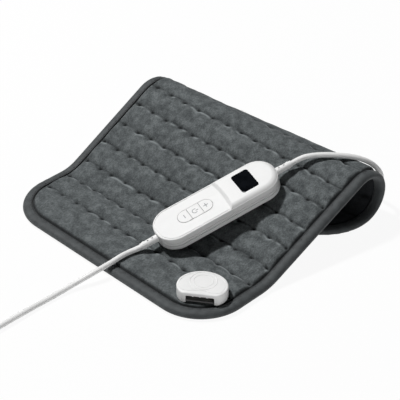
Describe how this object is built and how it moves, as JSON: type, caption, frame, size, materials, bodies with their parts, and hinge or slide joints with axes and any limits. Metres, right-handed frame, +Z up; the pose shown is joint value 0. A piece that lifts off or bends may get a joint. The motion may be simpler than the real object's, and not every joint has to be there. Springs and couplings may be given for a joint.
{
  "type": "heating pad with controller",
  "caption": "Quilted plush heating pad, ramped and rolled under at its far end, with a pad socket, a corded hand controller with a display and press buttons, and a coiled mains lead.",
  "frame": {"origin": "on the table, under the middle of the pad as it lies", "axes": "+X across the pad towards the socket's side, +Y from the flat near edge to the roll, +Z up"},
  "size_m": [0.3, 0.5299, 0.074],
  "materials": {
    "plush": "short-pile charcoal plush",
    "plush_lower": "short-pile charcoal plush",
    "binding": "smooth woven tape",
    "felt": "needle felt",
    "wire_sleeve": "silicone sleeve",
    "white_plastic": "satin",
    "white_satin": "satin",
    "button_white": "satin",
    "cord_white": "smooth sheath",
    "display_black": "polished",
    "black_plastic": "moulded",
    "tie_black": "moulded",
    "circuit_green": "solder mask",
    "component_blue": "moulded",
    "component_amber": "moulded",
    "component_cream": "ceramic",
    "terminal_green": "moulded",
    "lead_red": "insulation",
    "contact_brass": "plated",
    "steel": "zinc plated"
  },
  "bodies": {
    "pad": {"cover_top": "plush", "cover_bottom": "plush_lower", "edge_binding": "binding", "wire_carrier": "felt", "heating_wire": "wire_sleeve", "socket_shell": "white_plastic", "socket_base": "white_plastic", "socket_clamp": "steel", "socket_screw_1": "steel", "socket_screw_2": "steel", "contact_block": "black_plastic", "contact_pin_1": "contact_brass", "contact_pin_2": "contact_brass", "contact_pin_3": "contact_brass", "contact_pin_4": "contact_brass", "thermal_fuse": "component_cream", "socket_lead_1": "lead_red", "socket_lead_2": "lead_red"},
    "controller": {"case_bottom": "white_plastic", "case_top": "white_satin", "display_window": "display_black", "display_module": "circuit_green", "circuit_board": "circuit_green", "switch_minus": "black_plastic", "switch_power": "black_plastic", "switch_plus": "black_plastic", "power_relay": "component_blue", "capacitor": "component_amber", "fuse": "component_cream", "mains_terminal": "terminal_green", "output_terminal": "terminal_green", "case_screw_1": "steel", "case_screw_2": "steel", "case_screw_3": "steel", "case_screw_4": "steel", "pad_cord_relief": "cord_white", "mains_cord_relief": "cord_white", "mains_cord": "cord_white", "mains_cord_coil": "cord_white", "cord_tie": "tie_black", "mains_plug": "white_plastic", "plug_pin_1": "contact_brass", "plug_pin_2": "contact_brass", "mains_plug_relief": "cord_white", "pad_cord": "cord_white", "pad_plug": "white_plastic", "pad_plug_relief": "cord_white"},
    "minus_key": {"button_minus": "button_white"},
    "power_key": {"button_power": "button_white"},
    "plus_key": {"button_plus": "button_white"}
  },
  "joints": [
    {"name": "controller_lift", "type": "slide", "parent": "pad", "child": "controller", "axis": [0, 0, 1], "range_m": [0, 0.15]},
    {"name": "minus_press", "type": "slide", "parent": "controller", "child": "minus_key", "axis": [0.0025, 0.2964, -0.9551], "range_m": [0, 0.0007], "stiffness_N_per_m": 2500},
    {"name": "power_press", "type": "slide", "parent": "controller", "child": "power_key", "axis": [0.0025, 0.2964, -0.9551], "range_m": [0, 0.0007], "stiffness_N_per_m": 2500},
    {"name": "plus_press", "type": "slide", "parent": "controller", "child": "plus_key", "axis": [0.0025, 0.2964, -0.9551], "range_m": [0, 0.0007], "stiffness_N_per_m": 2500}
  ]
}
